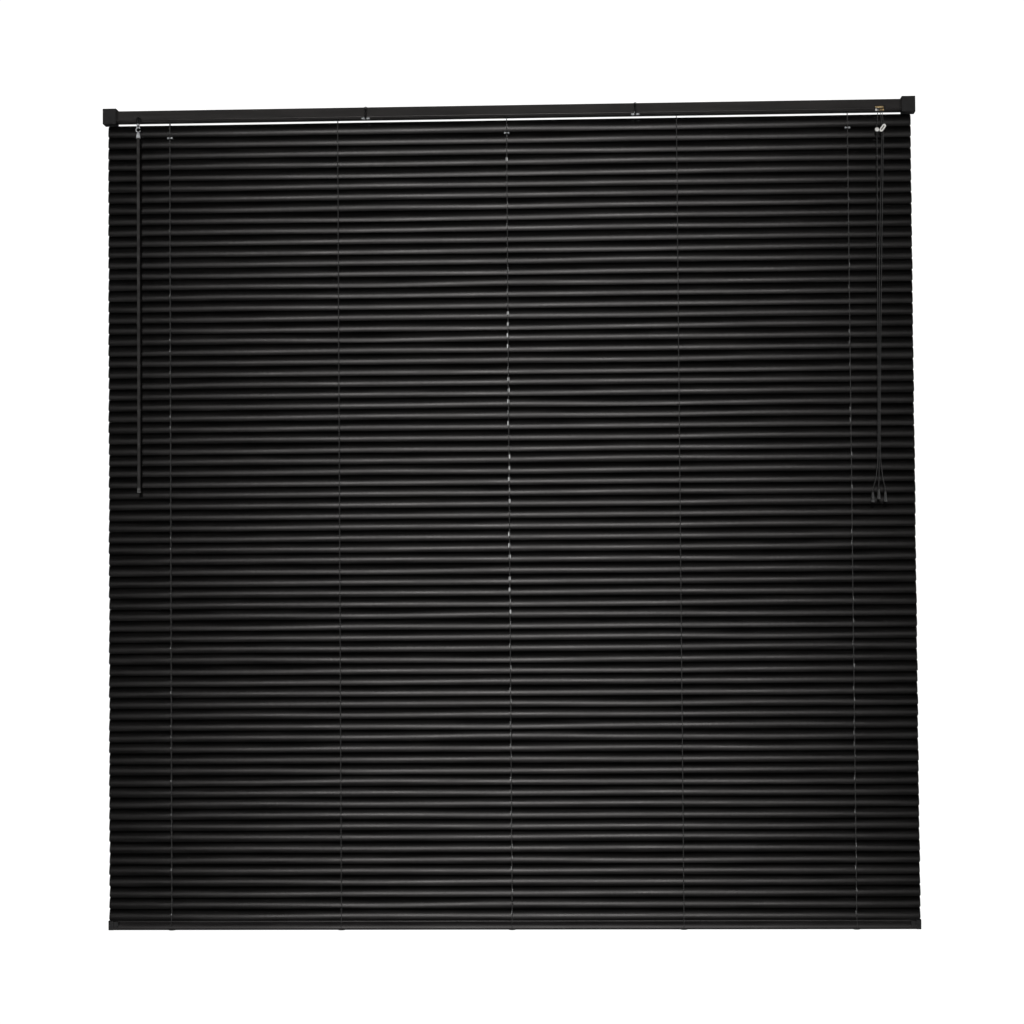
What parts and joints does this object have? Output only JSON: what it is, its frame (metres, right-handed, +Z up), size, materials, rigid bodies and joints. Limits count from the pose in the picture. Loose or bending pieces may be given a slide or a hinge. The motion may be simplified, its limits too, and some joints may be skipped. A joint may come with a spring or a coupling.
{
  "type": "venetian blind",
  "caption": "Inside-mounted horizontal slat blind with a headrail, box brackets, tilt wand, ladder cords, lift cords with tassels and a weighted bottom rail.",
  "frame": {"origin": "middle of the four wall-screw holes, on the brackets' back faces, which are the wall's plane", "axes": "+X along the blind to the right as seen from the room, -Y out of the front into the room, +Z up"},
  "size_m": [1.596, 0.0369, 1.6179],
  "materials": {
    "headrail_enamel": "satin",
    "bracket_steel": "satin",
    "black_plastic": "matte",
    "clear_plastic": "gloss",
    "bright_steel": "satin",
    "white_plastic": "gloss",
    "brass": "satin",
    "cord": "matte",
    "slat_enamel": "satin"
  },
  "bodies": {
    "root": {"headrail": "headrail_enamel", "headrail_end_caps": "black_plastic", "bracket_left": "bracket_steel", "bracket_right": "bracket_steel", "valance_clips": "clear_plastic", "ladder_cradles": "black_plastic", "tilter_housing": "black_plastic", "cord_lock": "black_plastic", "cord_guide_roller": "white_plastic", "lift_cords": "cord", "inner_cord_stops": "clear_plastic"},
    "door_left": {"bracket_door_left": "bracket_steel"},
    "door_right": {"bracket_door_right": "bracket_steel"},
    "tilt_shaft": {"tilt_rod": "bright_steel", "ladder_drums": "white_plastic", "tilter_gear": "white_plastic"},
    "worm": {"tilter_worm": "white_plastic", "tilter_stem": "black_plastic"},
    "hook": {"wand_hook": "bright_steel"},
    "wand": {"wand_ferrule": "bright_steel", "wand": "black_plastic"},
    "nip_roller": {"cord_lock_roller": "brass"},
    "pulls": {"cord_stops": "white_plastic", "pull_cords": "cord", "tassels": "black_plastic"},
    "front_strings": {"ladder_front_strings": "cord"},
    "rear_strings": {"ladder_rear_strings": "cord"},
    "rail": {"bottom_rail": "headrail_enamel", "bottom_rail_caps": "black_plastic", "ladder_buttons": "black_plastic"},
    "group_01": {"slats_01": "slat_enamel"},
    "lead_01": {"slat_01": "slat_enamel"},
    "group_02": {"slats_02": "slat_enamel"},
    "lead_02": {"slat_02": "slat_enamel"},
    "group_03": {"slats_03": "slat_enamel"},
    "lead_03": {"slat_03": "slat_enamel"},
    "group_04": {"slats_04": "slat_enamel"},
    "lead_04": {"slat_04": "slat_enamel"},
    "group_05": {"slats_05": "slat_enamel"},
    "lead_05": {"slat_05": "slat_enamel"},
    "group_06": {"slats_06": "slat_enamel"},
    "lead_06": {"slat_06": "slat_enamel"},
    "group_07": {"slats_07": "slat_enamel"},
    "lead_07": {"slat_07": "slat_enamel"},
    "group_08": {"slats_08": "slat_enamel"},
    "lead_08": {"slat_08": "slat_enamel"},
    "group_09": {"slats_09": "slat_enamel"},
    "lead_09": {"slat_09": "slat_enamel"},
    "group_10": {"slats_10": "slat_enamel"},
    "lead_10": {"slat_10": "slat_enamel"},
    "group_11": {"slats_11": "slat_enamel"},
    "lead_11": {"slat_11": "slat_enamel"},
    "group_12": {"slats_12": "slat_enamel"},
    "lead_12": {"slat_12": "slat_enamel"},
    "group_13": {"slats_13": "slat_enamel"},
    "lead_13": {"slat_13": "slat_enamel"},
    "group_14": {"slats_14": "slat_enamel"},
    "lead_14": {"slat_14": "slat_enamel"},
    "group_15": {"slats_15": "slat_enamel"},
    "lead_15": {"slat_15": "slat_enamel"}
  },
  "joints": [
    {"name": "tilt", "type": "hinge", "parent": "root", "child": "tilt_shaft", "pos_m": [0, -0.015, -0.003], "axis": [-1, 0, 0], "range_deg": [0, 74]},
    {"name": "lift", "type": "slide", "parent": "root", "child": "rail", "axis": [0, 0, 1], "range_m": [0, 1.4], "deforming": ["lift_cords"]},
    {"name": "door_left_swing", "type": "hinge", "parent": "root", "child": "door_left", "pos_m": [-0.785, -0.0275, 0.012], "axis": [-1, 0, 0], "range_deg": [0, 95]},
    {"name": "door_right_swing", "type": "hinge", "parent": "root", "child": "door_right", "pos_m": [0.785, -0.0275, 0.012], "axis": [-1, 0, 0], "range_deg": [0, 95]},
    {"name": "wand_swing", "type": "hinge", "parent": "root", "child": "hook", "pos_m": [-0.727, -0.03231, -0.01899], "axis": [-1, 0, 0], "range_deg": [0, 25]},
    {"name": "cord_lock_release", "type": "slide", "parent": "root", "child": "nip_roller", "axis": [0, 0.5, 0.866], "range_m": [0, 0.004]},
    {"name": "worm_spin", "type": "hinge", "parent": "root", "child": "worm", "pos_m": [-0.727, -0.02106, 0.0005], "axis": [0, 0.5, 0.866], "range_deg": [-888, 0]},
    {"name": "wand_spin", "type": "hinge", "parent": "hook", "child": "wand", "pos_m": [-0.727, -0.03231, -0.03899], "axis": [0, 0, 1], "range_deg": [-888, 0]},
    {"name": "front_strings_draw", "type": "slide", "parent": "root", "child": "front_strings", "axis": [0, -0.6018, 0.7986], "range_m": [0, 0.0151], "deforming": ["ladder_front_strings"]},
    {"name": "rear_strings_draw", "type": "slide", "parent": "root", "child": "rear_strings", "axis": [0, 0.6018, -0.7986], "range_m": [0, 0.0151], "deforming": ["ladder_rear_strings"]},
    {"name": "pulls_drop", "type": "slide", "parent": "root", "child": "pulls", "axis": [0, 0, -1], "range_m": [0, 1.4], "deforming": ["pull_cords"]},
    {"name": "group_01_lift", "type": "slide", "parent": "root", "child": "group_01", "axis": [0, 0, 1], "range_m": [0, 0.0021], "deforming": ["slats_01"]},
    {"name": "slat_01_tilt", "type": "hinge", "parent": "group_01", "child": "lead_01", "pos_m": [0, -0.015, -0.0729], "axis": [-1, 0, 0], "range_deg": [0, 74]},
    {"name": "group_02_lift", "type": "slide", "parent": "root", "child": "group_02", "axis": [0, 0, 1], "range_m": [0, 0.08601], "deforming": ["slats_02"]},
    {"name": "slat_02_tilt", "type": "hinge", "parent": "group_02", "child": "lead_02", "pos_m": [0, -0.015, -0.1597], "axis": [-1, 0, 0], "range_deg": [0, 74]},
    {"name": "group_03_lift", "type": "slide", "parent": "root", "child": "group_03", "axis": [0, 0, 1], "range_m": [0, 0.19161], "deforming": ["slats_03"]},
    {"name": "slat_03_tilt", "type": "hinge", "parent": "group_03", "child": "lead_03", "pos_m": [0, -0.015, -0.2682], "axis": [-1, 0, 0], "range_deg": [0, 74]},
    {"name": "group_04_lift", "type": "slide", "parent": "root", "child": "group_04", "axis": [0, 0, 1], "range_m": [0, 0.29722], "deforming": ["slats_04"]},
    {"name": "slat_04_tilt", "type": "hinge", "parent": "group_04", "child": "lead_04", "pos_m": [0, -0.015, -0.3767], "axis": [-1, 0, 0], "range_deg": [0, 74]},
    {"name": "group_05_lift", "type": "slide", "parent": "root", "child": "group_05", "axis": [0, 0, 1], "range_m": [0, 0.40283], "deforming": ["slats_05"]},
    {"name": "slat_05_tilt", "type": "hinge", "parent": "group_05", "child": "lead_05", "pos_m": [0, -0.015, -0.4852], "axis": [-1, 0, 0], "range_deg": [0, 74]},
    {"name": "group_06_lift", "type": "slide", "parent": "root", "child": "group_06", "axis": [0, 0, 1], "range_m": [0, 0.50843], "deforming": ["slats_06"]},
    {"name": "slat_06_tilt", "type": "hinge", "parent": "group_06", "child": "lead_06", "pos_m": [0, -0.015, -0.5937], "axis": [-1, 0, 0], "range_deg": [0, 74]},
    {"name": "group_07_lift", "type": "slide", "parent": "root", "child": "group_07", "axis": [0, 0, 1], "range_m": [0, 0.59234], "deforming": ["slats_07"]},
    {"name": "slat_07_tilt", "type": "hinge", "parent": "group_07", "child": "lead_07", "pos_m": [0, -0.015, -0.6805], "axis": [-1, 0, 0], "range_deg": [0, 74]},
    {"name": "group_08_lift", "type": "slide", "parent": "root", "child": "group_08", "axis": [0, 0, 1], "range_m": [0, 0.69795], "deforming": ["slats_08"]},
    {"name": "slat_08_tilt", "type": "hinge", "parent": "group_08", "child": "lead_08", "pos_m": [0, -0.015, -0.789], "axis": [-1, 0, 0], "range_deg": [0, 74]},
    {"name": "group_09_lift", "type": "slide", "parent": "root", "child": "group_09", "axis": [0, 0, 1], "range_m": [0, 0.80355], "deforming": ["slats_09"]},
    {"name": "slat_09_tilt", "type": "hinge", "parent": "group_09", "child": "lead_09", "pos_m": [0, -0.015, -0.8975], "axis": [-1, 0, 0], "range_deg": [0, 74]},
    {"name": "group_10_lift", "type": "slide", "parent": "root", "child": "group_10", "axis": [0, 0, 1], "range_m": [0, 0.90916], "deforming": ["slats_10"]},
    {"name": "slat_10_tilt", "type": "hinge", "parent": "group_10", "child": "lead_10", "pos_m": [0, -0.015, -1.006], "axis": [-1, 0, 0], "range_deg": [0, 74]},
    {"name": "group_11_lift", "type": "slide", "parent": "root", "child": "group_11", "axis": [0, 0, 1], "range_m": [0, 1.01477], "deforming": ["slats_11"]},
    {"name": "slat_11_tilt", "type": "hinge", "parent": "group_11", "child": "lead_11", "pos_m": [0, -0.015, -1.1145], "axis": [-1, 0, 0], "range_deg": [0, 74]},
    {"name": "group_12_lift", "type": "slide", "parent": "root", "child": "group_12", "axis": [0, 0, 1], "range_m": [0, 1.09867], "deforming": ["slats_12"]},
    {"name": "slat_12_tilt", "type": "hinge", "parent": "group_12", "child": "lead_12", "pos_m": [0, -0.015, -1.2013], "axis": [-1, 0, 0], "range_deg": [0, 74]},
    {"name": "group_13_lift", "type": "slide", "parent": "root", "child": "group_13", "axis": [0, 0, 1], "range_m": [0, 1.20428], "deforming": ["slats_13"]},
    {"name": "slat_13_tilt", "type": "hinge", "parent": "group_13", "child": "lead_13", "pos_m": [0, -0.015, -1.3098], "axis": [-1, 0, 0], "range_deg": [0, 74]},
    {"name": "group_14_lift", "type": "slide", "parent": "root", "child": "group_14", "axis": [0, 0, 1], "range_m": [0, 1.30989], "deforming": ["slats_14"]},
    {"name": "slat_14_tilt", "type": "hinge", "parent": "group_14", "child": "lead_14", "pos_m": [0, -0.015, -1.4183], "axis": [-1, 0, 0], "range_deg": [0, 74]},
    {"name": "group_15_lift", "type": "slide", "parent": "root", "child": "group_15", "axis": [0, 0, 1], "range_m": [0, 1.41549], "deforming": ["slats_15"]},
    {"name": "slat_15_tilt", "type": "hinge", "parent": "group_15", "child": "lead_15", "pos_m": [0, -0.015, -1.5268], "axis": [-1, 0, 0], "range_deg": [0, 74]}
  ],
  "couplings": [
    {"joint": "worm_spin", "follows": "tilt", "ratio": -12},
    {"joint": "wand_spin", "follows": "tilt", "ratio": -12},
    {"joint": "front_strings_draw", "follows": "tilt", "m_per_rad": 0.011649},
    {"joint": "rear_strings_draw", "follows": "tilt", "m_per_rad": 0.011649},
    {"joint": "pulls_drop", "follows": "lift", "ratio": 1},
    {"joint": "group_01_lift", "follows": "lift", "ratio": 0.001429},
    {"joint": "slat_01_tilt", "follows": "tilt", "ratio": 1},
    {"joint": "group_02_lift", "follows": "lift", "ratio": 0.061362},
    {"joint": "slat_02_tilt", "follows": "tilt", "ratio": 1},
    {"joint": "group_03_lift", "follows": "lift", "ratio": 0.13679},
    {"joint": "slat_03_tilt", "follows": "tilt", "ratio": 1},
    {"joint": "group_04_lift", "follows": "lift", "ratio": 0.21223},
    {"joint": "slat_04_tilt", "follows": "tilt", "ratio": 1},
    {"joint": "group_05_lift", "follows": "lift", "ratio": 0.28766},
    {"joint": "slat_05_tilt", "follows": "tilt", "ratio": 1},
    {"joint": "group_06_lift", "follows": "lift", "ratio": 0.3631},
    {"joint": "slat_06_tilt", "follows": "tilt", "ratio": 1},
    {"joint": "group_07_lift", "follows": "lift", "ratio": 0.42303},
    {"joint": "slat_07_tilt", "follows": "tilt", "ratio": 1},
    {"joint": "group_08_lift", "follows": "lift", "ratio": 0.49846},
    {"joint": "slat_08_tilt", "follows": "tilt", "ratio": 1},
    {"joint": "group_09_lift", "follows": "lift", "ratio": 0.5739},
    {"joint": "slat_09_tilt", "follows": "tilt", "ratio": 1},
    {"joint": "group_10_lift", "follows": "lift", "ratio": 0.64933},
    {"joint": "slat_10_tilt", "follows": "tilt", "ratio": 1},
    {"joint": "group_11_lift", "follows": "lift", "ratio": 0.72476},
    {"joint": "slat_11_tilt", "follows": "tilt", "ratio": 1},
    {"joint": "group_12_lift", "follows": "lift", "ratio": 0.7847},
    {"joint": "slat_12_tilt", "follows": "tilt", "ratio": 1},
    {"joint": "group_13_lift", "follows": "lift", "ratio": 0.86013},
    {"joint": "slat_13_tilt", "follows": "tilt", "ratio": 1},
    {"joint": "group_14_lift", "follows": "lift", "ratio": 0.93556},
    {"joint": "slat_14_tilt", "follows": "tilt", "ratio": 1},
    {"joint": "group_15_lift", "follows": "lift", "ratio": 1.011},
    {"joint": "slat_15_tilt", "follows": "tilt", "ratio": 1}
  ]
}
